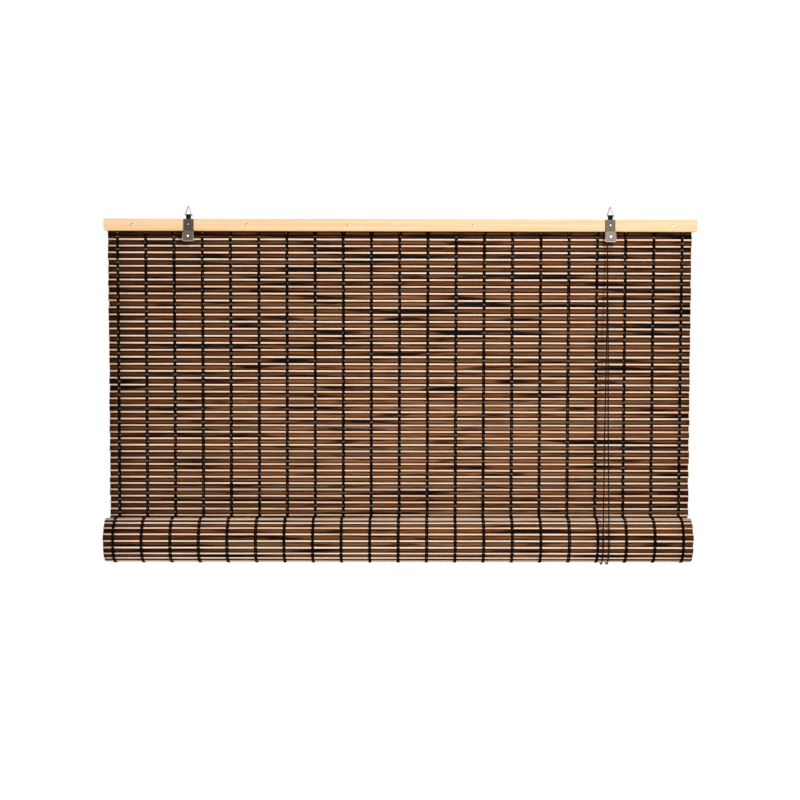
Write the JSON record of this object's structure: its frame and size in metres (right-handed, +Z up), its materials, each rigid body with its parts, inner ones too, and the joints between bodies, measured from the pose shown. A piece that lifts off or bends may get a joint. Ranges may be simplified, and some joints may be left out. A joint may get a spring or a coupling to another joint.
{
  "type": "bamboo roll up blind",
  "caption": "Bamboo roll up blind, half rolled: a slatted mat nailed to a pine rail, hung from wire rings, with lift cords over a pulley wheel and round the roll.",
  "frame": {"origin": "on the line through the inner tops of the two hanging rings, half way along the rail, in the plane of the straps", "axes": "+X to the right along the rail, +Y from the room towards the wall, +Z up"},
  "size_m": [1.2, 0.1062, 0.7193],
  "materials": {
    "pine": "planed, unvarnished",
    "bamboo_slats": "stained dark brown slats with natural sticks, satin",
    "brown_yarn": "twisted yarn",
    "black_cord": "braided",
    "black_webbing": "woven tape",
    "ring_wire": "nickel plated wire",
    "plate_steel": "dull nickel plate",
    "housing_nickel": "satin nickel plate",
    "nail_steel": "bright steel",
    "wheel_plastic": "moulded"
  },
  "bodies": {
    "blind_frame": {"head_rail": "pine", "back_lath": "pine", "rail_nails": "nail_steel", "hanging_mat": "bamboo_slats", "hanging_yarns": "brown_yarn", "left_strap": "black_webbing", "right_strap": "black_webbing", "left_hanger_plate": "plate_steel", "right_hanger_plate": "plate_steel", "left_pulley_housing": "housing_nickel", "right_pulley_housing": "housing_nickel", "left_hanger_nail": "nail_steel", "right_hanger_nail": "nail_steel", "left_pulley_axle": "nail_steel", "right_pulley_axle": "nail_steel", "cord_over_wheel": "black_cord", "cord_end_knot": "black_cord", "cord_front_legs": "black_cord", "cord_back_legs": "black_cord", "cord_anchor_knots": "black_cord", "cord_staples": "nail_steel"},
    "left_hanging_ring": {"left_ring": "ring_wire"},
    "right_hanging_ring": {"right_ring": "ring_wire"},
    "left_pulley_wheel": {"left_wheel": "wheel_plastic"},
    "right_pulley_wheel": {"right_wheel": "wheel_plastic"},
    "roll_sling": {"cord_sling": "black_cord"},
    "roll": {"mat_roll": "bamboo_slats", "roll_yarns": "brown_yarn", "bottom_dowel": "pine"}
  },
  "joints": [
    {"name": "left_ring_swing", "type": "hinge", "parent": "blind_frame", "child": "left_hanging_ring", "pos_m": [-0.428, 0, -0.0161], "axis": [1, 0, 0], "range_deg": [-90, 90]},
    {"name": "right_ring_swing", "type": "hinge", "parent": "blind_frame", "child": "right_hanging_ring", "pos_m": [0.424, 0, -0.0161], "axis": [1, 0, 0], "range_deg": [-90, 90]},
    {"name": "left_wheel_turn", "type": "hinge", "parent": "blind_frame", "child": "left_pulley_wheel", "pos_m": [-0.428, -0.0033, -0.0589], "axis": [0, 1, 0], "continuous": true},
    {"name": "right_wheel_turn", "type": "hinge", "parent": "blind_frame", "child": "right_pulley_wheel", "pos_m": [0.424, -0.0033, -0.0589], "axis": [0, 1, 0], "continuous": true},
    {"name": "roll_lift", "type": "slide", "parent": "blind_frame", "child": "roll_sling", "axis": [0, 0, 1], "range_m": [0, 0.5592], "deforming": ["hanging_mat", "hanging_yarns", "cord_front_legs", "cord_back_legs"]},
    {"name": "roll_turn", "type": "hinge", "parent": "roll_sling", "child": "roll", "pos_m": [0, -0.03017, -0.6676], "axis": [1, 0, 0], "range_deg": [-720, 0]}
  ],
  "couplings": [
    {"joint": "roll_turn", "follows": "roll_lift", "rad_per_m": -22.472},
    {"joint": "right_wheel_turn", "follows": "roll_lift", "rad_per_m": 360.36}
  ]
}
